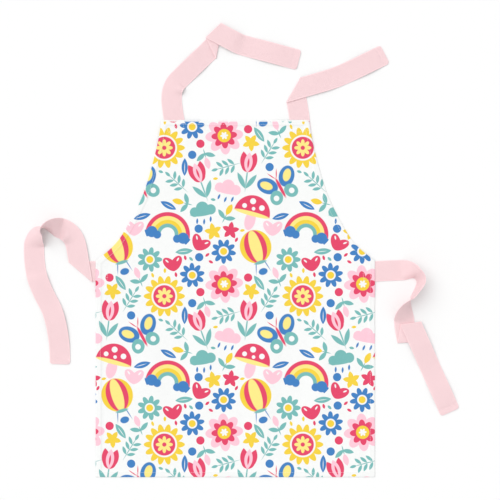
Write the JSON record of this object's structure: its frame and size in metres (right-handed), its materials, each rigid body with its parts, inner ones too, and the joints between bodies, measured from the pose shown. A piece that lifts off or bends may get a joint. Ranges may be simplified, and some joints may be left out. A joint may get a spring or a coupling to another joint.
{
  "type": "kids apron",
  "caption": "Child's bib apron in printed cotton, laid flat face up, with curved armholes, hemmed edges, and loose flat tapes at the neck and waist",
  "frame": {"origin": "on the panel's flat underside, where it rests on the table, at the middle of the panel's width and height", "axes": "+Y runs up the apron to the bib, +X to the right as seen from the printed face, +Z out of the printed face"},
  "size_m": [0.7475, 0.781, 0.0357],
  "materials": {
    "panel_cloth": "plain-weave cotton, white ground with a small scattered print",
    "strap_tape": "pale pink cotton twill tape"
  },
  "bodies": {
    "root": {"apron_panel": "panel_cloth", "neck_strap_left": "strap_tape", "neck_strap_right": "strap_tape", "waist_tie_left": "strap_tape", "waist_tie_right": "strap_tape"}
  },
  "joints": []
}
